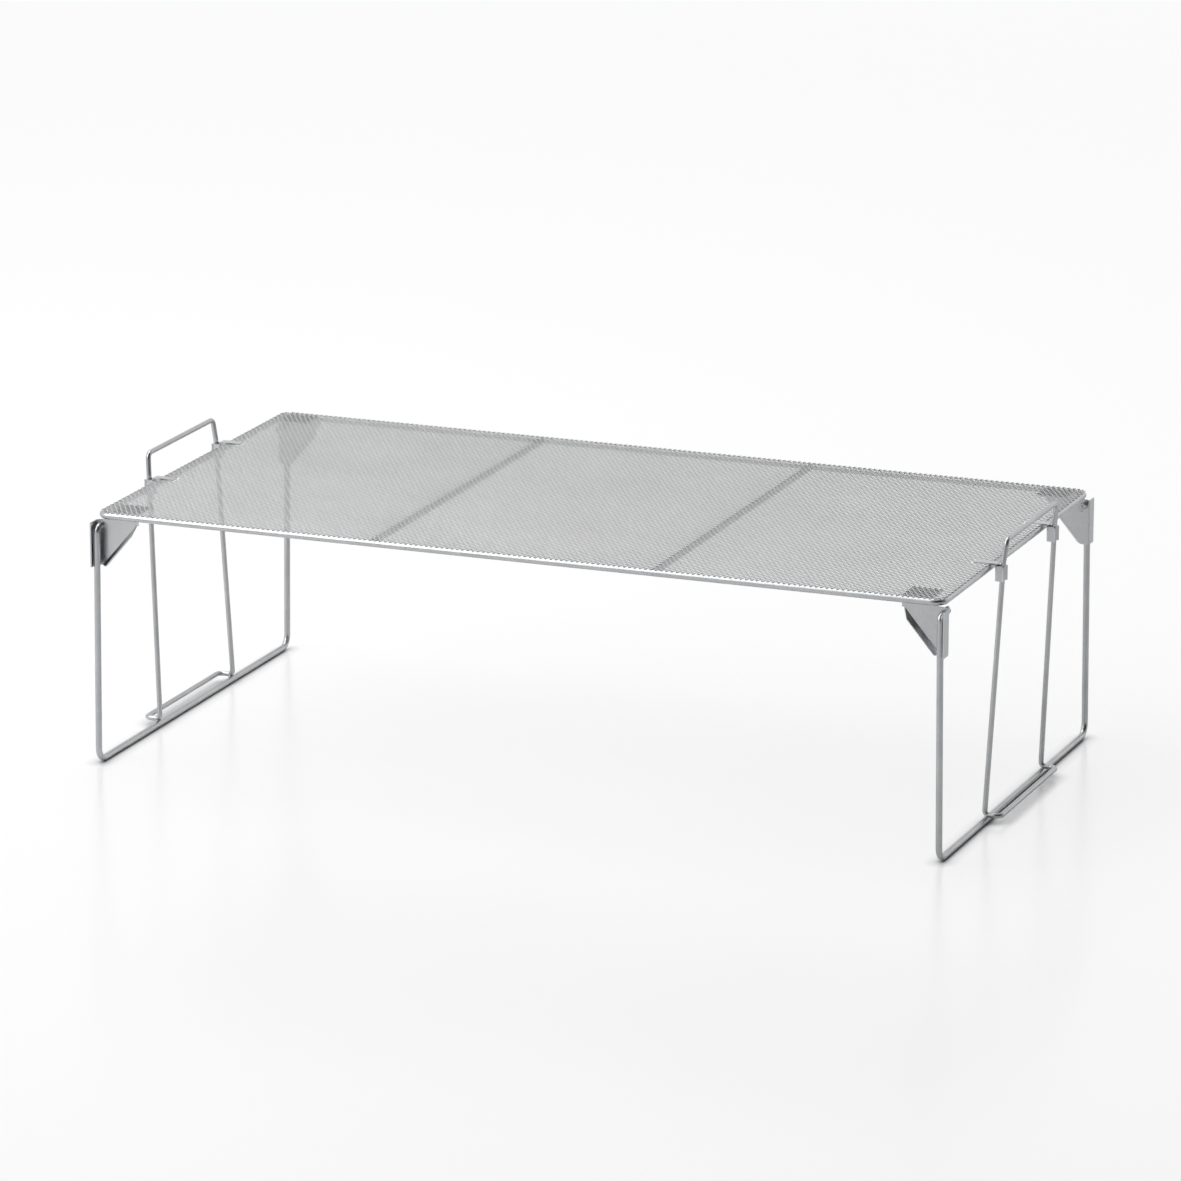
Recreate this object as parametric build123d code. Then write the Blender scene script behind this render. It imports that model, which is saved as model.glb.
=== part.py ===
"""Folding, stacking cooling rack: a wire frame with an expanded-metal top, carried on two
U-shaped leg frames that fold under it about the Y axis. A closed wire loop welded to each leg
snaps into clips on the frame's end, and its top is the hand grip and stacking stop.
Origin at the middle of the footprint on the worktop, +X along the rack, +Z up, millimetres.
"""

from build123d import *
import os
from math import cos, hypot, pi, radians, sin, tan

# ---- overall sizes -----------------------------------------------------------------------
FRAME_LENGTH = 484.0  # outside of the frame wire, along X
FRAME_WIDTH = 248.0  # outside of the frame wire, along Y
FRAME_HEIGHT = 139.5  # centre of the frame wire above the worktop

# ---- wire and sheet sizes ----------------------------------------------------------------
FRAME_WIRE = 3.5  # wire diameters
LEG_WIRE = 3.5
LOOP_WIRE = 2.8
BRACKET_SHEET = 0.8
CLIP_SHEET = 0.8
MESH_SHEET = 0.4  # plain sheet in place of the expanded metal, and heavier than it

# ---- clearances --------------------------------------------------------------------------
TOUCH = 0.02  # between two pieces that are welded together
RUNNING = 0.08  # radial, leg wire in its bracket hole
FREE = 0.30  # between pieces that move past each other
CUT_PAST = 2.0  # a cut runs on this far past what it cuts
STRAIGHT = 0.02  # a corner that turns less than this, in radians, is left straight

# ---- top frame ---------------------------------------------------------------------------
FRAME_BEND = 6.0  # centre-line radius of the frame's corners
BAR_SPACING = 161.0  # between the two cross bars
MESH_INSET = 1.0  # mesh edge inboard of the outside of the frame wire

# ---- legs --------------------------------------------------------------------------------
PIVOT_DROP = 6.2  # pivot below the centre of the frame wire
LEG_STANDOFF = 4.62  # leg wire centre outboard of the bracket's plate, along Y
LEG_SPLAY = 1.3  # foot outboard of the pivot, along X
LEG_BEND = 7.0  # centre-line radius at the foot
STUB_BEND = 3.0  # centre-line radius where the leg turns into its pivot stub
STUB_LENGTH = 12.5  # from the leg's centre line to the stub's end
EAR_LENGTH, EAR_THICK = 2.0, 1.8  # stub end squeezed flat
EAR_PAST_WIRE = 0.65  # and so wider than its hole, each way
EAR_FROM_END = 0.3
STUB_END_ROUND = 0.5

# ---- wire loops --------------------------------------------------------------------------
LOOP_HALF_FOOT = 48.3  # half width of the loop, centre to centre, at the foot
LOOP_HALF_CLIP = 44.0  # at the clips
LOOP_HALF_GRIP = 42.2  # at the grip
LOOP_REACH_CLIP = 5.2  # loop centre outboard of the frame's outside, at the clips
GRIP_REACH = 6.6  # grip centre outboard of the frame's outside
GRIP_RISE = 14.9  # grip centre above the frame wire's centre
LOOP_BEND = 3.5  # centre-line radius of the grip's corners and the outer foot corners
LOOP_FOOT_BEND = 2.5  # tighter bend where the loop turns out over the leg's foot bar
LOOP_INBOARD = 0.6  # loop wire comes down this far inboard of the leg bar's centre
LOOP_STEP = 8.2  # outer foot run outboard of the leg bar's centre
KNEE_RISE = 1.2  # above the mesh's underside, where the loop leans further out

# ---- corner brackets ---------------------------------------------------------------------
BRACKET_REACH = 22.5  # inner end of the bracket inboard of the pivot, along X
BRACKET_DEPTH = 28.2  # bottom of the bracket below the frame wire's centre
BRACKET_SHOULDER = 4.5  # top of the sloping edge below the frame wire's centre
BRACKET_SHOULDER_INSET = 0.8  # and outboard of the bracket's inner end
BRACKET_TOE = 1.66  # bottom end of the sloping edge inboard of the pivot
FLANGE_TURN = 55.0  # degrees that the flange on the sloping edge is bent out of the plate
FLANGE_BEND_INSIDE = 0.6
FLANGE_TAPER = 6.0  # its free edge starts this far further down than its root
BRACKET_TOP = 17.5  # width of the top flange, along Y
LIP_TOP = 3.3  # top of the outer lip below the frame wire's centre
LIP_ROOM = 0.25  # more room between lip and leg, which leans out by this much at the lip's foot
LIP_PAST_LEG = 0.7  # lip reaches past the outside of the leg wire
LIP_CORNER, LIP_CORNER_RISE = 1.5, 0.4  # plate's top corner beside the lip, cut off along X and Z
BEND_OUTSIDE = 0.75  # outside radius of sheet bends, less than the sheet

# ---- snap clips --------------------------------------------------------------------------
CLIP_TONGUE = 10.5  # length of the tongue over the frame wire, from the frame's outside
CLIP_DEPTH = 6.9  # bottom of the clip below the frame wire's centre
CLIP_STANDOFF = 1.6  # web outboard of the frame wire's outside
CLIP_PAST_WIRE = 0.6  # straight part of a jaw past the centre of the loop wire
CLIP_LEAN = 0.3  # more room between the jaws, because the loop's wires lean
JAW_DROP = 0.6  # top of the jaws below the tongue
CLIP_FLARE, CLIP_FLARE_OUT = 1.3, 0.6  # flared end of a jaw: along X, and sideways
CLIP_BEND = 0.7  # outside radius between web and jaws

# ---- derived positions -------------------------------------------------------------------
frame_r, leg_r, loop_r = FRAME_WIRE / 2, LEG_WIRE / 2, LOOP_WIRE / 2
frame_x = FRAME_LENGTH / 2 - frame_r  # centre line of the end wires
frame_y = FRAME_WIDTH / 2 - frame_r  # centre line of the side wires
mesh_z = FRAME_HEIGHT + frame_r + TOUCH  # underside of the mesh
pivot_x = frame_x
pivot_z = FRAME_HEIGHT - PIVOT_DROP
foot_x = pivot_x + LEG_SPLAY
plate_y = frame_y - frame_r - TOUCH  # outer face of a bracket's plate
leg_y = plate_y + LEG_STANDOFF
clip_x = FRAME_LENGTH / 2 + LOOP_REACH_CLIP  # loop wire in its clips
clip_z = FRAME_HEIGHT - CLIP_DEPTH / 2 + CLIP_SHEET  # middle of the clips
grip_x, grip_z = FRAME_LENGTH / 2 + GRIP_REACH, FRAME_HEIGHT + GRIP_RISE
loop_step_x = foot_x + LOOP_STEP
loop_down_x = foot_x - LOOP_INBOARD
# the loop's foot bend wraps over the leg's foot bar and touches it
bend_apart = LOOP_FOOT_BEND + leg_r + loop_r + TOUCH
loop_foot_z = leg_r + (bend_apart**2 - (LOOP_FOOT_BEND - LOOP_INBOARD) ** 2) ** 0.5 - LOOP_FOOT_BEND
knee_z = mesh_z + KNEE_RISE  # just above the clips
clip_gap = LOOP_WIRE + 2 * FREE + CLIP_LEAN  # between a clip's jaws
clip_width = clip_gap + 2 * CLIP_SHEET


def rod(points, diameter, bends, closed=False):
    """Round wire along straight runs joined by bends: one centre-line radius or one a corner."""
    points = [Vector(*p) for p in points]
    if not isinstance(bends, list):
        bends = [bends] * len(points)
    count = len(points)
    corners = range(count) if closed else range(1, count - 1)
    cut = {}
    for i in corners:
        into = (points[i] - points[i - 1]).normalized()
        away = (points[(i + 1) % count] - points[i]).normalized()
        turn = into.get_angle(away) * pi / 180
        if turn < STRAIGHT:
            cut[i] = None
            continue
        bend = bends[i]
        back = bend * ((1 - into.dot(away)) / (1 + into.dot(away))) ** 0.5
        start, end = points[i] - into * back, points[i] + away * back
        inward = (away - into).normalized()
        middle = points[i] + inward * ((bend**2 + back**2) ** 0.5 - bend)
        cut[i] = (start, middle, end)
    path = []
    if closed:
        here = (cut[0][2] + cut[1][0]) / 2
        order = [*range(1, count), 0]
        first = here
    else:
        here, order, first = points[0], list(range(1, count - 1)), points[0]
    for i in order:
        if cut[i] is None:
            path.append(Line(here, points[i]))
            here = points[i]
            continue
        path.append(Line(here, cut[i][0]))
        path.append(ThreePointArc(*cut[i]))
        here = cut[i][2]
    path.append(Line(here, first if closed else points[-1]))
    pieces = []
    for edge in path:
        start = Plane(origin=edge @ 0, z_dir=edge % 0)
        pieces.append(sweep(start * Circle(diameter / 2), path=edge))
    return pieces[0].fuse(*pieces[1:]).clean() if len(pieces) > 1 else pieces[0]


def slab(corner, opposite):
    """Box between two opposite corners."""
    low = [min(a, b) for a, b in zip(corner, opposite)]
    high = [max(a, b) for a, b in zip(corner, opposite)]
    size = [b - a for a, b in zip(low, high)]
    return Pos(*low) * Box(*size, align=(Align.MIN, Align.MIN, Align.MIN))


def plate_xz(outline, y_from, y_to):
    """Flat plate parallel to XZ with the given outline, between two values of Y."""
    face = Plane.XZ.offset(-y_from) * make_face(Polyline(*outline, close=True))
    return extrude(face, amount=y_to - y_from, dir=(0, 1, 0))


def save(solid, name):
    solid.label = name
    export_step(solid, f"parts/{name}.step")


def top_frame():
    ring = [(sx * frame_x, sy * frame_y, FRAME_HEIGHT)
            for sx, sy in ((-1, -1), (1, -1), (1, 1), (-1, 1))]
    return rod(ring, FRAME_WIRE, FRAME_BEND, closed=True)


def cross_bar(x):
    """Straight wire between the side wires, with its ends hollowed to sit against them."""
    bar = rod([(x, -frame_y, FRAME_HEIGHT), (x, frame_y, FRAME_HEIGHT)], FRAME_WIRE, 0)
    for side in (-1, 1):
        bar -= (Pos(x, side * frame_y, FRAME_HEIGHT) * Rot(0, 90, 0)
                * Cylinder(frame_r + TOUCH, FRAME_WIRE + 2 * CUT_PAST))
    return bar


def mesh_sheet():
    """Top sheet, notched round the four clip tongues."""
    length, width = FRAME_LENGTH - 2 * MESH_INSET, FRAME_WIDTH - 2 * MESH_INSET
    corner = FRAME_BEND + frame_r - MESH_INSET
    sheet = Pos(0, 0, mesh_z) * extrude(RectangleRounded(length, width, corner), MESH_SHEET)
    notch_y = clip_width / 2 + FREE
    for side in (-1, 1):
        for y in (-LOOP_HALF_CLIP, LOOP_HALF_CLIP):
            x_in = FRAME_LENGTH / 2 - CLIP_TONGUE - FREE
            sheet -= slab((side * x_in, y - notch_y, mesh_z - CUT_PAST),
                          (side * (FRAME_LENGTH / 2 + CUT_PAST), y + notch_y,
                           mesh_z + MESH_SHEET + CUT_PAST))
    return sheet


def bracket():
    """Corner bracket for the +X +Y corner: plate with the pivot hole, outer lip that stops
    the leg, splayed flange along the sloping edge and top flange under the mesh."""
    t = BRACKET_SHEET
    inner_y = plate_y - t
    top_z = mesh_z - TOUCH
    x_in = pivot_x - BRACKET_REACH
    x_neck = frame_x - FRAME_BEND  # plate stays clear of the frame's corner bend
    x_lip = pivot_x + leg_r + FREE + LIP_ROOM
    z_low, z_lip = FRAME_HEIGHT - BRACKET_DEPTH, FRAME_HEIGHT - LIP_TOP
    z_neck = FRAME_HEIGHT - frame_r - FREE
    x_toe = pivot_x - BRACKET_TOE
    x_slope, z_slope = x_in + BRACKET_SHOULDER_INSET, FRAME_HEIGHT - BRACKET_SHOULDER
    run, fall = x_toe - x_slope, z_slope - z_low
    slope = hypot(run, fall)
    down, out = Vector(run, 0, -fall) / slope, Vector(-fall, 0, -run) / slope
    bend = (FLANGE_BEND_INSIDE + t) * tan(radians(FLANGE_TURN) / 2)  # from its start to the edge
    plate = plate_xz(
        [(x_in, top_z), (x_neck, top_z), (x_neck, z_neck),
         (x_lip + t - LIP_CORNER, z_lip + LIP_CORNER_RISE),
         (x_lip + t, z_lip), (x_lip + t, z_low), (x_toe + bend * slope / fall, z_low),
         (x_slope - bend * out.X, z_slope - bend * out.Z), (x_slope, z_slope), (x_in, z_slope)],
        inner_y, plate_y)
    lip = slab((x_lip, inner_y, z_low), (x_lip + t, leg_y + leg_r + LIP_PAST_LEG, z_lip))
    top = slab((x_in, inner_y - BRACKET_TOP + t, top_z - t), (x_neck, plate_y, top_z))
    flange = sloping_flange(Vector(x_slope, inner_y, z_slope), down, out, slope, bend)
    body = plate + lip + top + flange
    body = fillet_where(body, [
        lambda e: along(e, Axis.Z) and at(e, x_lip + t, inner_y),
        lambda e: along(e, Axis.X) and near(e.center().Y, plate_y) and near(e.center().Z, top_z),
    ])
    hole = Pos(pivot_x, plate_y, pivot_z) * Rot(90, 0, 0) * Cylinder(leg_r + RUNNING, 2 * (t + CUT_PAST))
    return body - hole


def sloping_flange(start, down, out, length, bend):
    """Flange on the plate's sloping edge, which runs from start down to the plate's bottom. It is
    bent out of the plate towards the leg and stops short of it, and its top end is tapered."""
    t, turn = BRACKET_SHEET, radians(FLANGE_TURN)
    width = (leg_y - leg_r - FREE - start.Y - t * cos(turn)) / sin(turn)

    def arc(radius, rise):
        """Side of the bend, as start, middle and end: out from the plate, and across it."""
        turns = (0, turn / 2, turn)
        return [(radius * sin(a) - bend, rise + radius * (1 - cos(a))) for a in turns]

    convex, concave = arc(FLANGE_BEND_INSIDE + t, 0), arc(FLANGE_BEND_INSIDE, t)
    tip = (width * cos(turn), width * sin(turn))
    tip_inside = (tip[0] - t * sin(turn), tip[1] + t * cos(turn))
    section = make_face([ThreePointArc(*convex), Line(convex[2], tip), Line(tip, tip_inside),
                         Line(tip_inside, concave[2]), ThreePointArc(*concave),
                         Line(concave[0], convex[0])])
    flange = extrude(Plane(origin=start, x_dir=out, z_dir=down) * section, length + CUT_PAST)
    bottom = start + down * length
    flange -= slab((start.X - width, start.Y - t, bottom.Z - 2 * CUT_PAST),
                   (bottom.X + width, start.Y + 2 * width, bottom.Z))
    across = out * cos(turn) + Vector(0, sin(turn), 0)
    taper = Plane(origin=start, x_dir=down, z_dir=down.cross(across)) * make_face(
        Polyline((0, 0), (FLANGE_TAPER, width), (FLANGE_TAPER, width + t), (0, width + t), close=True))
    return flange - extrude(taper, t + CUT_PAST, both=True)


def near(a, b):
    return abs(a - b) < 0.01


def along(edge, axis):
    return edge.geom_type == GeomType.LINE and abs((edge % 0.5).dot(axis.direction)) > 0.999


def at(edge, x, y):
    return near(edge.center().X, x) and near(edge.center().Y, y)


def fillet_where(body, tests, radius=BEND_OUTSIDE):
    """Round the outside of each sheet bend."""
    for test in tests:
        edges = [e for e in body.edges() if test(e)]
        if edges:
            body = fillet(edges, radius)
    return body


def snap_clip(y):
    """Clip on the +X end wire: tongue over the wire, web down its outside and two jaws."""
    t, x0 = CLIP_SHEET, FRAME_LENGTH / 2 + CLIP_STANDOFF
    z_top, z_low = mesh_z + t, FRAME_HEIGHT - CLIP_DEPTH
    half = clip_width / 2
    tongue = slab((FRAME_LENGTH / 2 - CLIP_TONGUE, y - half, mesh_z), (x0 + t, y + half, z_top))
    web = slab((x0, y - half, z_low), (x0 + t, y + half, z_top))
    body = tongue + web
    body = fillet_where(body, [lambda e: along(e, Axis.Y) and near(e.center().X, x0 + t)
                               and near(e.center().Z, z_top)])
    jaw_end, jaw_top = clip_x + CLIP_PAST_WIRE, mesh_z - JAW_DROP
    for side in (-1, 1):
        inside, outside = side * clip_gap / 2, side * half
        outline = [(x0, inside), (jaw_end, inside), (jaw_end + CLIP_FLARE, inside + side * CLIP_FLARE_OUT),
                   (jaw_end + CLIP_FLARE - t / 2, outside + side * CLIP_FLARE_OUT),
                   (jaw_end - t / 4, outside), (x0, outside)]
        face = make_face(Polyline(*[(px, y + py, z_low) for px, py in outline], close=True))
        body += extrude(face, amount=jaw_top - z_low, dir=(0, 0, 1))
    return fillet_where(body, [lambda e: along(e, Axis.Z) and near(e.center().X, x0)
                               and near(abs(e.center().Y - y), half)], CLIP_BEND)


def leg_frame():
    """U-shaped leg at the +X end: bent tightly into a pivot stub at each top, wider at the
    foot, with the stub ends rounded and squeezed into ears that can't pass the bracket."""
    inner = leg_y - STUB_LENGTH
    half_x, half_z = (pivot_x + foot_x) / 2, (pivot_z + leg_r) / 2
    body = rod([(half_x, -leg_y, half_z), (foot_x, -leg_y, leg_r),
                (foot_x, leg_y, leg_r), (half_x, leg_y, half_z)], LEG_WIRE, LEG_BEND)
    uppers = [rod([(pivot_x, side * inner, pivot_z), (pivot_x, side * leg_y, pivot_z),
                   (half_x, side * leg_y, half_z)], LEG_WIRE, STUB_BEND)
              for side in (-1, 1)]
    body = body.fuse(*uppers).clean()
    body = fillet([e for e in body.edges().filter_by(GeomType.CIRCLE)
                   if near(abs(e.center().Y), inner)], STUB_END_ROUND)
    for side in (-1, 1):
        ear = Box(EAR_THICK, EAR_LENGTH, LEG_WIRE + 2 * EAR_PAST_WIRE)
        ear = fillet(ear.edges().filter_by(Axis.Y), EAR_THICK / 3)
        body += Pos(pivot_x, side * (inner + EAR_FROM_END + EAR_LENGTH / 2), pivot_z) * ear
    return body


def lock_loop():
    """Closed wire loop at the +X end: grip, two long wires and a step out over the foot bar."""
    up = (knee_z - loop_foot_z) / (clip_z - loop_foot_z)  # knee, on the line through the clip
    knee_x = loop_down_x + (clip_x - loop_down_x) * up
    knee_y = LOOP_HALF_FOOT + (LOOP_HALF_CLIP - LOOP_HALF_FOOT) * up
    right = [(grip_x, LOOP_HALF_GRIP, grip_z), (knee_x, knee_y, knee_z),
             (loop_down_x, LOOP_HALF_FOOT, loop_foot_z), (loop_step_x, LOOP_HALF_FOOT, loop_foot_z)]
    left = [(x, -y, z) for x, y, z in reversed(right)]
    bends = [LOOP_BEND, LOOP_BEND, LOOP_FOOT_BEND, LOOP_BEND]
    return rod(right + left, LOOP_WIRE, bends + bends[::-1], closed=True)


os.makedirs("parts", exist_ok=True)

save(top_frame(), "top_frame")
save(mesh_sheet(), "mesh_sheet")
save(cross_bar(-BAR_SPACING / 2), "cross_bar_left")
save(cross_bar(BAR_SPACING / 2), "cross_bar_right")

corner = bracket()
save(corner, "bracket_right_back")
save(mirror(corner, Plane.XZ), "bracket_right_front")
save(mirror(corner, Plane.YZ), "bracket_left_back")
save(mirror(mirror(corner, Plane.XZ), Plane.YZ), "bracket_left_front")

for y, place in ((-LOOP_HALF_CLIP, "front"), (LOOP_HALF_CLIP, "back")):
    clip = snap_clip(y)
    save(clip, f"snap_clip_right_{place}")
    save(mirror(clip, Plane.YZ), f"snap_clip_left_{place}")

right_leg, right_loop = leg_frame(), lock_loop()
save(right_leg, "leg_right")
save(mirror(right_leg, Plane.YZ), "leg_left")
save(right_loop, "lock_loop_right")
save(mirror(right_loop, Plane.YZ), "lock_loop_left")
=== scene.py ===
"""Folding cooling rack: expanded mesh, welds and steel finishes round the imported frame, with its
studio and camera. Metres and +Z up; angles are in degrees until they are used.
"""

import math

import bpy
import bmesh
from mathutils import Matrix, Vector, noise


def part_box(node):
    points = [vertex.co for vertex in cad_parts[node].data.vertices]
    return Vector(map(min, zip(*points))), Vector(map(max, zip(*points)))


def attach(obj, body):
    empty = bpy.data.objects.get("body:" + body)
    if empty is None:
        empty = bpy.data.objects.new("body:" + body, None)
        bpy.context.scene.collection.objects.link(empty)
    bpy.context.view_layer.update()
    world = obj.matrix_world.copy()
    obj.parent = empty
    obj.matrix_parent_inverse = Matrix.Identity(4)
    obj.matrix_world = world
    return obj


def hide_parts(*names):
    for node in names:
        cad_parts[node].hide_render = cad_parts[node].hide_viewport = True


# ---- camera ------------------------------------------------------------------------------
CAMERA_AIM = Vector((-0.0055, 0.0062, 0.0887))
CAMERA_DISTANCE = 3.6374
CAMERA_AZIMUTH, CAMERA_ELEVATION, CAMERA_ROLL = 21.65, 15.265, 0.086
CAMERA_LENS, CAMERA_SENSOR = 202.7, 36.0  # millimetres
CAMERA_NEAR, CAMERA_FAR = 0.05, 60

# ---- expanded mesh -----------------------------------------------------------------------
SHORT_WAY = 0.002965  # diamond pitch along X
LONG_WAY = 0.00499  # diamond pitch along Y
STRAND_WIDTH = 0.00058
STRAND_THICK = 0.00038
STRAND_TILT = -7.0  # strands lean about Y, lower towards +X
KNUCKLE = 0.0011  # length along Y of the joint between two strands
SHEET_CORNER = 0.0068  # radius of the sheet's corners
SHEET_GAP = 2e-5  # from the ring's top to the plain sheet; the strands start at the ring's top
NOTCH_ROOM = 0.0003  # between the mesh and a clip's tongue
TRIM = 1e-5  # a cut strand stops this short of the next joint
LEAST_RUN = 0.02  # least sideways run of a cut strand, as a share of a whole one's

# ---- welds -------------------------------------------------------------------------------
LEG_WIRE, LOOP_WIRE = 0.0035, 0.0028  # diameters
CROSSING_BEAD = (0.0010, 0.0007, 0.0007)  # half sizes: loop on foot bar
BAR_BEAD = (0.0008, 0.0008, 0.0010)  # cross bar on side wire
BRACKET_BEAD = (0.0014, 0.0005, 0.0005)  # bracket under side wire
CLIP_BEAD = (0.0009, 0.0004, 0.0004)  # clip tongue on end wire
BAR_BEAD_AT = (0.8, 0.4, 0.3)  # off the bar, in from its end and down, in radii of the ring's wire
BRACKET_BEAD_AT = (1.75, 0.85)  # in from the ring's outside and down, in the same radii
BRACKET_BEAD_ALONG = (0.12, 0.42)  # shares of the bracket's length from its inner end
CLIP_BEAD_UP = 0.9  # above the ring's middle, in the same radii
FOOT_BEAD_OUT = 0.17  # outward from the foot bar's centre line, in diameters of its wire
BEAD_ROUNDS = 3  # subdivisions of a bead's ball
BEAD_LUMPS = 0.16  # height of the lumps as a share of the bead
BEAD_GRAIN = 700.0  # lumps a metre

# ---- studio ------------------------------------------------------------------------------
GROUND_REACH = 20  # each way from the rack
FLOOR_ALBEDO, FLOOR_ROUGH, FLOOR_GLOW = 0.36, 0.22, 0.55
TABLE_ALBEDO, TABLE_ROUGH = 0.84, 0.6
TABLE_DROP = 0.0001  # the table top lies this far under the floor
CONTACT = 0.008  # the floor's glow fades this near the rack
CONTACT_SPREAD = (0.45, 1.0)  # openness of the floor at which it has no glow and all of it
SKY = 0.9
SKY_BY_HEIGHT = ((0.0, 1.0), (0.45, 0.95), (0.7, 0.66), (1.0, 0.70))
SKY_BY_SIDE = ((0.0, 1.0), (0.40, 0.80), (0.80, 0.06), (1.0, 0.04))  # towards the dark side
DARK_SIDE = Vector((0.72, -0.55, 0.43))  # the unlit end of the studio
SOFTBOXES = {  # place, aim, size, watts
    "key": ((-1.05, -0.95, 1.35), (0, 0, 0.1), (1.2, 1.4), 13),
    "overhead": ((-0.5, 0.3, 1.5), (-0.1, 0, 0.14), (1.0, 1.2), 8),
}


# ==========================================================================================
# materials
# ==========================================================================================


class Nodes:
    """Short forms for building a node material."""

    def __init__(self, name):
        self.material = bpy.data.materials.new(name)
        self.material.use_nodes = True
        self.tree = self.material.node_tree
        self.shader = self.tree.nodes["Principled BSDF"]
        self.place = self.add("ShaderNodeTexCoord").outputs["Object"]

    def add(self, kind, **values):
        node = self.tree.nodes.new(kind)
        for key, value in values.items():
            setattr(node, key, value)
        return node

    def link(self, start, end):
        self.tree.links.new(start, end)

    def noise(self, per_metre, stretch=(1, 1, 1), detail=2.0, roughness=0.5):
        """Noise with about this many bumps a metre, drawn out along the axes whose stretch is small."""
        mapping = self.add("ShaderNodeMapping")
        mapping.inputs["Scale"].default_value = stretch
        self.link(self.place, mapping.inputs["Vector"])
        node = self.add("ShaderNodeTexNoise")
        node.inputs["Scale"].default_value = per_metre
        node.inputs["Detail"].default_value = detail
        node.inputs["Roughness"].default_value = roughness
        self.link(mapping.outputs["Vector"], node.inputs["Vector"])
        return node.outputs["Fac"]

    def mix(self, a, b, share):
        """Blend of two patterns, with this share of the second."""
        node = self.add("ShaderNodeMix", data_type="FLOAT")
        node.inputs["Factor"].default_value = share
        self.link(a, node.inputs["A"])
        self.link(b, node.inputs["B"])
        return node.outputs["Result"]

    def between(self, pattern, low, high, spread=(0.3, 0.7)):
        """Pattern stretched from spread to low..high: numbers, or colours of three."""
        if isinstance(low, (int, float)):
            node = self.add("ShaderNodeMapRange")
            node.inputs["From Min"].default_value, node.inputs["From Max"].default_value = spread
            node.inputs["To Min"].default_value, node.inputs["To Max"].default_value = low, high
            self.link(pattern, node.inputs["Value"])
            return node.outputs["Result"]
        node = self.add("ShaderNodeValToRGB")
        for element, at, colour in zip(node.color_ramp.elements, spread, (low, high)):
            element.position, element.color = at, (*colour, 1)
        self.link(pattern, node.inputs["Fac"])
        return node.outputs["Color"]

    def bump(self, pattern, depth):
        """Relief of this depth, in metres, for the light only."""
        node = self.add("ShaderNodeBump")
        node.inputs["Strength"].default_value = 1.0
        node.inputs["Distance"].default_value = depth
        self.link(pattern, node.inputs["Height"])
        self.link(node.outputs["Normal"], self.shader.inputs["Normal"])


def grey(value, blue):
    """Steel colour of this linear brightness, cooler with more blue."""
    return (value * (1 - blue), value, value * (1 + blue))


def metal(name):
    """Bare metal, with its nodes still to come."""
    made = Nodes(name)
    made.shader.inputs["Metallic"].default_value = 1.0
    return made


def steel(name, dark, light, rough, grain=(1, 1, 1), relief=4e-6):
    """Satin steel: slow tint changes, a fine drawn or rolled grain and faint handling marks."""
    made = metal(name)
    tint = made.noise(per_metre=60, detail=3)
    fine = made.noise(per_metre=2600, stretch=grain)
    marks = made.noise(per_metre=420, detail=4, roughness=0.62)
    stained = made.mix(tint, marks, share=0.35)
    colour = made.between(stained, grey(dark, blue=0.02), grey(light, blue=0.02))
    made.link(colour, made.shader.inputs["Base Color"])
    worn = made.mix(marks, fine, share=0.4)
    made.link(made.between(worn, *rough), made.shader.inputs["Roughness"])
    made.bump(made.mix(fine, marks, share=0.3), depth=relief)
    return made.material


def mesh_steel():
    """Expanded metal: the tint drifts across the sheet, and each strand is a little mottled."""
    made = metal("expanded_metal")
    drift = made.noise(per_metre=14)
    mottle = made.noise(per_metre=900)
    both = made.mix(drift, mottle, share=0.5)
    colour = made.between(both, grey(0.57, blue=0.006), grey(0.67, blue=0.006))
    made.link(colour, made.shader.inputs["Base Color"])
    made.link(made.between(mottle, low=0.36, high=0.50), made.shader.inputs["Roughness"])
    return made.material


def weld_steel():
    """Weld metal: duller than the wire, with a fine scale and a slight straw tint."""
    made = metal("weld_metal")
    scale = made.noise(per_metre=1500, detail=3, roughness=0.6)
    colour = made.between(scale, low=(0.36, 0.35, 0.33), high=(0.56, 0.56, 0.56))
    made.link(colour, made.shader.inputs["Base Color"])
    made.link(made.between(scale, low=0.36, high=0.55), made.shader.inputs["Roughness"])
    made.bump(scale, depth=3e-5)
    return made.material


def wear(piece, material):
    """Puts one material in every slot of a piece."""
    if not piece.data.materials:
        piece.data.materials.append(material)
    for slot in piece.material_slots:
        slot.material = material


# ==========================================================================================
# what the frame says
# ==========================================================================================


def named(start):
    """Names of the CAD nodes that begin with this."""
    return [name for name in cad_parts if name.startswith(start)]


def middle(low, high):
    return (low + high) / 2


# ==========================================================================================
# expanded mesh
# ==========================================================================================


class Sheet:
    """Where the expanded metal runs: its outline, corners and the notches round the tongues."""

    def __init__(self, node, tongues):
        low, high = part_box(node)
        self.half_x, self.half_y = high.x, high.y
        self.notches = [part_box(tongue) for tongue in tongues]
        lean = math.radians(STRAND_TILT)
        self.across = Vector((math.cos(lean), 0, math.sin(lean))) * STRAND_WIDTH / 2
        self.through = Vector((-math.sin(lean), 0, math.cos(lean))) * STRAND_THICK / 2
        self.level = low.z - SHEET_GAP + 2 * abs(self.across.z) + self.through.z

    def spans(self, x):
        """Stretches of Y that the sheet covers at this X."""
        past = abs(x) - (self.half_x - SHEET_CORNER)
        end = self.half_y
        if past > 0:
            end -= SHEET_CORNER - math.sqrt(max(SHEET_CORNER**2 - past**2, 0))
        cuts = []
        for low, high in self.notches:
            reach = min(abs(low.x), abs(high.x)) - STRAND_WIDTH
            if x * low.x > 0 and abs(x) > reach:
                cuts.append((low.y - NOTCH_ROOM, high.y + NOTCH_ROOM))
        spans, here = [], -end
        for low, high in sorted(cuts):
            spans.append((here, low))
            here = high
        return [*spans, (here, end)]


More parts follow.
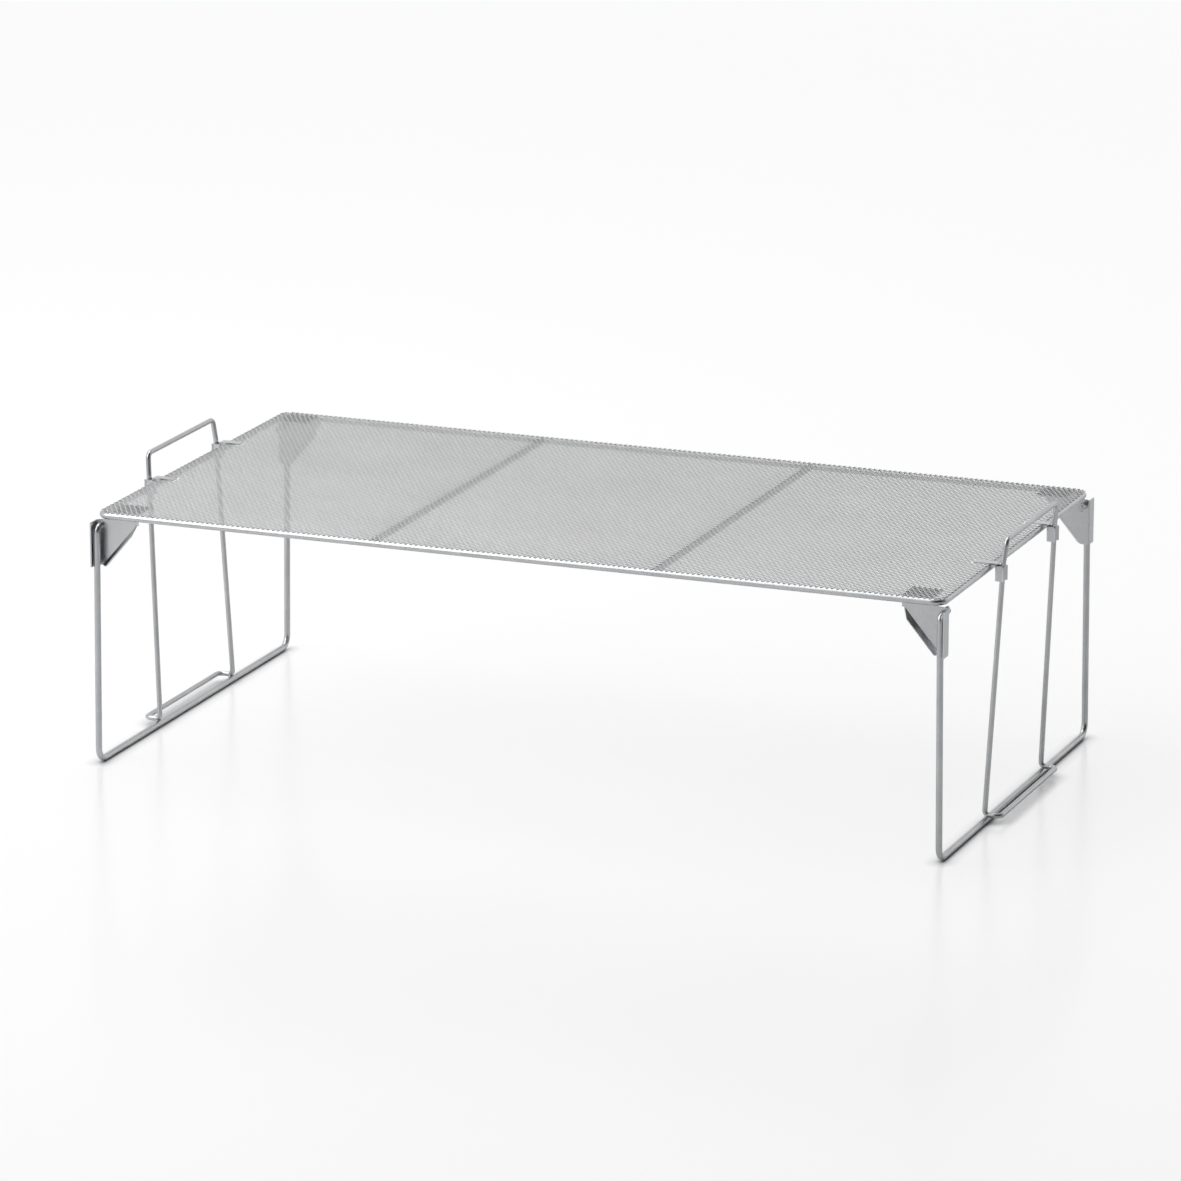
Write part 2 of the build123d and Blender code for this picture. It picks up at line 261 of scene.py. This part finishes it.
def knuckles(span):
    """Numbers of the joints that lie whole in a stretch of Y, which is trimmed clear of others."""
    half = KNUCKLE / 2
    start, end = span
    first = math.ceil((start + half) / (LONG_WAY / 2))
    last = math.floor((end - half) / (LONG_WAY / 2))
    before, after = (first - 1) * LONG_WAY / 2 + half, (last + 1) * LONG_WAY / 2 - half
    return max(start, before + TRIM), min(end, after - TRIM), range(first, last + 1)


def expanded_piece(name, sheet, rows):
    """Rows of zigzag strands along Y, joined at their knuckles into one closed surface.

    Knuckle k of a row lies k half diamonds along Y, on the row's right or left, where it meets
    knuckle k of the row there. A strand's four sides are 0 under, 1 right, 2 over and 3 left.
    """
    shift = SHORT_WAY / 4 - sheet.across.x
    plan = {row: [knuckles(s) for s in sheet.spans(row * SHORT_WAY / 2)] for row in rows}
    held = {row: {k for _, _, ks in spans for k in ks} for row, spans in plan.items()}
    points, index, faces = [], {}, []

    def side_of(row, k):
        """The side of the row that its knuckle k is on: 1 right, -1 left."""
        return 1 if (row + k) % 2 == 0 else -1

    def centre(row, y, side):
        return Vector((row * SHORT_WAY / 2 + side * shift, y, sheet.level - side * sheet.across.z))

    def corners(row, at, key, side=0):
        """Corners of a strand's section: left low, right low, right high, left high.

        With a side, the two corners on it are shared with the row there.
        """
        found = []
        for x, z in ((-1, -1), (1, -1), (1, 1), (-1, 1)):
            corner = (row, key, x, z)
            if x == side:
                corner = ("joint", row + (1 if side > 0 else 0), key, z)
            if corner not in index:
                index[corner] = len(points)
                points.append(at + sheet.across * x + sheet.through * z)
            found.append(index[corner])
        return found

    def prism(a, b, sides=range(4)):
        """These sides of the strand between two sections."""
        for c in sides:
            d = (c + 1) % 4
            faces.append((a[c], b[c], b[d], a[d]))

    for row, spans in plan.items():
        for start, end, ks in spans:
            if not ks:
                continue
            chain = []
            for k in ks:
                side, y = side_of(row, k), k * LONG_WAY / 2
                near = corners(row, centre(row, y - KNUCKLE / 2, side), (k, 0), side)
                far = corners(row, centre(row, y + KNUCKLE / 2, side), (k, 1), side)
                shared = k in held.get(row + side, ())
                joined = 1 if side > 0 else 3
                chain.append((near, far, [c for c in range(4) if c != joined or not shared]))
            for near, far, sides in chain:
                prism(near, far, sides)
            for (_, a, _), (b, _, _) in zip(chain, chain[1:]):
                prism(a, b)
            for y, k, last in ((start, ks[0], False), (end, ks[-1], True)):
                side = side_of(row, k)
                reach = (abs(y - k * LONG_WAY / 2) - KNUCKLE / 2) / (LONG_WAY / 2 - KNUCKLE)
                share = min(max(reach, LEAST_RUN), 1)
                at = centre(row, y, side).lerp(centre(row, y, -side), share)
                tip = corners(row, at, ("end", y))
                if last:
                    prism(chain[-1][1], tip)
                    faces.append(tuple(reversed(tip)))
                else:
                    prism(tip, chain[0][0])
                    faces.append(tuple(tip))
    data = bpy.data.meshes.new(name)
    data.from_pydata(points, [], faces)
    lay_flat(data)
    piece = bpy.data.objects.new(name, data)
    bpy.context.scene.collection.objects.link(piece)
    return piece


def lay_flat(data):
    """UV map of a mesh piece as seen from above."""
    xs = [v.co.x for v in data.vertices]
    ys = [v.co.y for v in data.vertices]
    x0, y0 = min(xs), min(ys)
    width, depth = max(xs) - x0, max(ys) - y0
    layer = data.uv_layers.new(name="OFBake")
    places = []
    for loop in data.loops:
        co = data.vertices[loop.vertex_index].co
        places += ((co.x - x0) / width, (co.y - y0) / depth)
    layer.uv.foreach_set("vector", places)


def expanded_mesh():
    """The mesh, in three pieces that part over the cross bars."""
    sheet = Sheet("mesh_sheet", named("snap_clip"))
    bar = middle(*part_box("cross_bar_right")).x
    last = int((sheet.half_x - sheet.across.x) / (SHORT_WAY / 2))
    over_bar = round(bar / (SHORT_WAY / 2))
    thirds = {"mesh_left": range(-last, -over_bar), "mesh_middle": range(-over_bar, over_bar + 1),
              "mesh_right": range(over_bar + 1, last + 1)}
    material = mesh_steel()
    for name, rows in thirds.items():
        piece = expanded_piece(name, sheet, rows)
        wear(piece, material)
        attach(piece, "rack")
        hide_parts("mesh_sheet")


# ==========================================================================================
# welds
# ==========================================================================================


def add_bead(data, place, half_sizes):
    """One lumpy ellipsoid of weld metal."""
    made = bmesh.ops.create_icosphere(data, subdivisions=BEAD_ROUNDS, radius=1.0)
    for vertex in made["verts"]:
        offset = Vector(a * b for a, b in zip(vertex.co, half_sizes))
        lump = 1 + BEAD_LUMPS * noise.noise((Vector(place) + offset) * BEAD_GRAIN)
        vertex.co = Vector(place) + offset * lump


def beads(name, body, places, material):
    """Weld beads of one body, as one piece: places holds pairs of a place and half sizes."""
    data = bmesh.new()
    for place, half_sizes in places:
        add_bead(data, place, half_sizes)
    for face in data.faces:
        face.smooth = True
    made = bpy.data.meshes.new(name)
    data.to_mesh(made)
    data.free()
    piece = bpy.data.objects.new(name, made)
    bpy.context.scene.collection.objects.link(piece)
    wear(piece, material)
    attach(piece, body)


def frame_welds():
    """Places of the beads on the rack: cross bars, brackets and clip tongues."""
    ring_low, ring_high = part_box("top_frame")
    level, radius = middle(ring_low, ring_high).z, (ring_high.z - ring_low.z) / 2
    places = []
    beside, inboard, down = (share * radius for share in BAR_BEAD_AT)
    for name in named("cross_bar"):
        low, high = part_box(name)
        x = middle(low, high).x
        for side in (-1, 1):
            for end in (low.y, high.y):
                y = end - math.copysign(inboard, end)
                places.append(((x + side * beside, y, level - down), BAR_BEAD))
    inboard, down = (share * radius for share in BRACKET_BEAD_AT)
    for name in named("bracket"):
        low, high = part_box(name)
        inner, outer = sorted((low.x, high.x), key=abs)
        y = math.copysign(ring_high.y - inboard, middle(low, high).y)
        for share in BRACKET_BEAD_ALONG:
            x = inner + (outer - inner) * share
            places.append(((x, y, level - down), BRACKET_BEAD))
    for name in named("snap_clip"):
        low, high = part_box(name)
        x = math.copysign(ring_high.x - radius, low.x)
        for y in (low.y, high.y):
            places.append(((x, y, level + CLIP_BEAD_UP * radius), CLIP_BEAD))
    return places


def crossing_welds(side):
    """Places of the beads where one end's wire loop crosses its foot bar."""
    leg_low, leg_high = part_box(f"leg_{side}")
    loop_low, loop_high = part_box(f"lock_loop_{side}")
    sign = 1 if side == "right" else -1
    bar_x = max(abs(leg_low.x), abs(leg_high.x)) - LEG_WIRE / 2
    x, z = sign * (bar_x + FOOT_BEAD_OUT * LEG_WIRE), LEG_WIRE
    reach = loop_high.y - LOOP_WIRE / 2
    return [((x, y + step * LOOP_WIRE / 2, z), CROSSING_BEAD)
            for y in (-reach, reach) for step in (-1, 1)]


def welds():
    material = weld_steel()
    beads("welds_rack", "rack", frame_welds(), material)
    for side in ("left", "right"):
        beads(f"welds_foot_{side}", f"leg_frame_{side}", crossing_welds(side), material)


# ==========================================================================================
# studio and camera
# ==========================================================================================


def camera():
    azimuth, elevation = math.radians(CAMERA_AZIMUTH), math.radians(CAMERA_ELEVATION)
    back = Vector((math.sin(azimuth) * math.cos(elevation),
                   -math.cos(azimuth) * math.cos(elevation), math.sin(elevation)))
    data = bpy.data.cameras.new("camera")
    data.lens, data.sensor_width = CAMERA_LENS, CAMERA_SENSOR
    data.clip_start, data.clip_end = CAMERA_NEAR, CAMERA_FAR
    made = bpy.data.objects.new("camera", data)
    turn = (-back).to_track_quat("-Z", "Y").to_matrix().to_4x4()
    roll = Matrix.Rotation(math.radians(CAMERA_ROLL), 4, "Z")
    made.matrix_world = Matrix.Translation(CAMERA_AIM + back * CAMERA_DISTANCE) @ turn @ roll
    bpy.context.scene.collection.objects.link(made)
    bpy.context.scene.camera = made


def ground(name, height, albedo, roughness):
    """Level sheet all round the object, with its plain pale finish."""
    reach = GROUND_REACH
    corners = [(-reach, -reach), (reach, -reach), (reach, reach), (-reach, reach)]
    data = bpy.data.meshes.new(name)
    data.from_pydata([(x, y, height) for x, y in corners], [], [(0, 1, 2, 3)])
    made = bpy.data.objects.new(name, data)
    bpy.context.scene.collection.objects.link(made)
    look = Nodes(name)
    look.shader.inputs["Base Color"].default_value = (albedo, albedo, albedo, 1)
    look.shader.inputs["Roughness"].default_value = roughness
    look.shader.inputs["IOR"].default_value = 1.45
    wear(made, look.material)
    return made, look


def glow(look, strength):
    """White glow that fades close to the rack, which leaves a dark line under it."""
    look.shader.inputs["Emission Color"].default_value = (1, 1, 1, 1)
    near = look.add("ShaderNodeAmbientOcclusion")
    near.inputs["Distance"].default_value = CONTACT
    faded = look.between(near.outputs["AO"], 0.0, strength, CONTACT_SPREAD)
    look.link(faded, look.shader.inputs["Emission Strength"])


def floors():
    """The glowing floor that only the camera sees, and the table top that the steel reflects."""
    seen, look = ground("floor", 0, FLOOR_ALBEDO, FLOOR_ROUGH)
    seen.visible_glossy = seen.visible_diffuse = seen.visible_shadow = False
    glow(look, FLOOR_GLOW)
    bounce, _ = ground("table_top", -TABLE_DROP, TABLE_ALBEDO, TABLE_ROUGH)
    bounce.visible_camera = False


def softbox(name, place, aim, size, watts):
    data = bpy.data.lights.new(name, "AREA")
    data.shape, data.size, data.size_y = "RECTANGLE", *size
    data.energy = watts
    made = bpy.data.objects.new(name, data)
    made.location = place
    made.rotation_mode = "QUATERNION"
    made.rotation_quaternion = (Vector(aim) - Vector(place)).to_track_quat("-Z", "Y")
    bpy.context.scene.collection.objects.link(made)


def ramp(tree, value, stops):
    """Grey that follows a value through these stops."""
    node = tree.nodes.new("ShaderNodeValToRGB")
    node.color_ramp.interpolation = "EASE"
    elements = node.color_ramp.elements
    while len(elements) < len(stops):
        elements.new(0.5)
    for element, (at, level) in zip(elements, stops):
        element.position, element.color = at, (level, level, level, 1)
    tree.links.new(value, node.inputs["Fac"])
    return node.outputs["Color"]


def sky():
    """Pale studio all round, with its unlit end on the side that the rack is seen from."""
    world = bpy.data.worlds.new("studio")
    bpy.context.scene.world = world
    world.use_nodes = True
    tree = world.node_tree
    place = tree.nodes.new("ShaderNodeTexCoord").outputs["Generated"]
    split = tree.nodes.new("ShaderNodeSeparateXYZ")
    tree.links.new(place, split.inputs["Vector"])
    height = ramp(tree, split.outputs["Z"], SKY_BY_HEIGHT)
    side = tree.nodes.new("ShaderNodeVectorMath")
    side.operation = "DOT_PRODUCT"
    side.inputs[1].default_value = DARK_SIDE
    tree.links.new(place, side.inputs[0])
    shade = ramp(tree, side.outputs["Value"], SKY_BY_SIDE)
    both = tree.nodes.new("ShaderNodeVectorMath")
    both.operation = "MULTIPLY"
    tree.links.new(height, both.inputs[0])
    tree.links.new(shade, both.inputs[1])
    tree.links.new(both.outputs["Vector"], tree.nodes["Background"].inputs["Color"])
    tree.nodes["Background"].inputs["Strength"].default_value = SKY


def studio():
    bpy.context.scene.view_settings.view_transform = "Standard"
    sky()
    floors()
    for name, (place, aim, size, watts) in SOFTBOXES.items():
        softbox(name, place, aim, size, watts)


# ==========================================================================================
# the object
# ==========================================================================================


def finishes():
    """A steel for each CAD node, by how its name begins."""
    wire = steel("frame_wire_steel", dark=0.54, light=0.64, rough=(0.24, 0.34))
    leg = steel("leg_wire_steel", dark=0.50, light=0.60, rough=(0.26, 0.36))
    loop = steel("loop_wire_steel", dark=0.50, light=0.60, rough=(0.26, 0.36))
    bracket = steel("bracket_sheet_steel", dark=0.55, light=0.63, rough=(0.26, 0.33),
                    grain=(1, 1, 0.08), relief=1.5e-6)
    clip = steel("clip_sheet_steel", dark=0.56, light=0.66, rough=(0.26, 0.34),
                 grain=(0.1, 1, 1), relief=1.5e-6)
    by_name = {"top_frame": wire, "cross_bar": wire, "leg": leg, "lock_loop": loop,
               "bracket": bracket, "snap_clip": clip, "mesh_sheet": wire}
    for name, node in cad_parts.items():
        wear(node, next(m for start, m in by_name.items() if name.startswith(start)))


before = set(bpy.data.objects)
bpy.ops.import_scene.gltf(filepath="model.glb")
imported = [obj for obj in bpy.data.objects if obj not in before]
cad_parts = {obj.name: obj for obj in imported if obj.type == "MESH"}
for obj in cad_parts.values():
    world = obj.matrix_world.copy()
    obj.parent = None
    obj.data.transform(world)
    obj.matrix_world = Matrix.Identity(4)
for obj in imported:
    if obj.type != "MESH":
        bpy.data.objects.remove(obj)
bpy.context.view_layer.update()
camera()
studio()
finishes()
expanded_mesh()
welds()
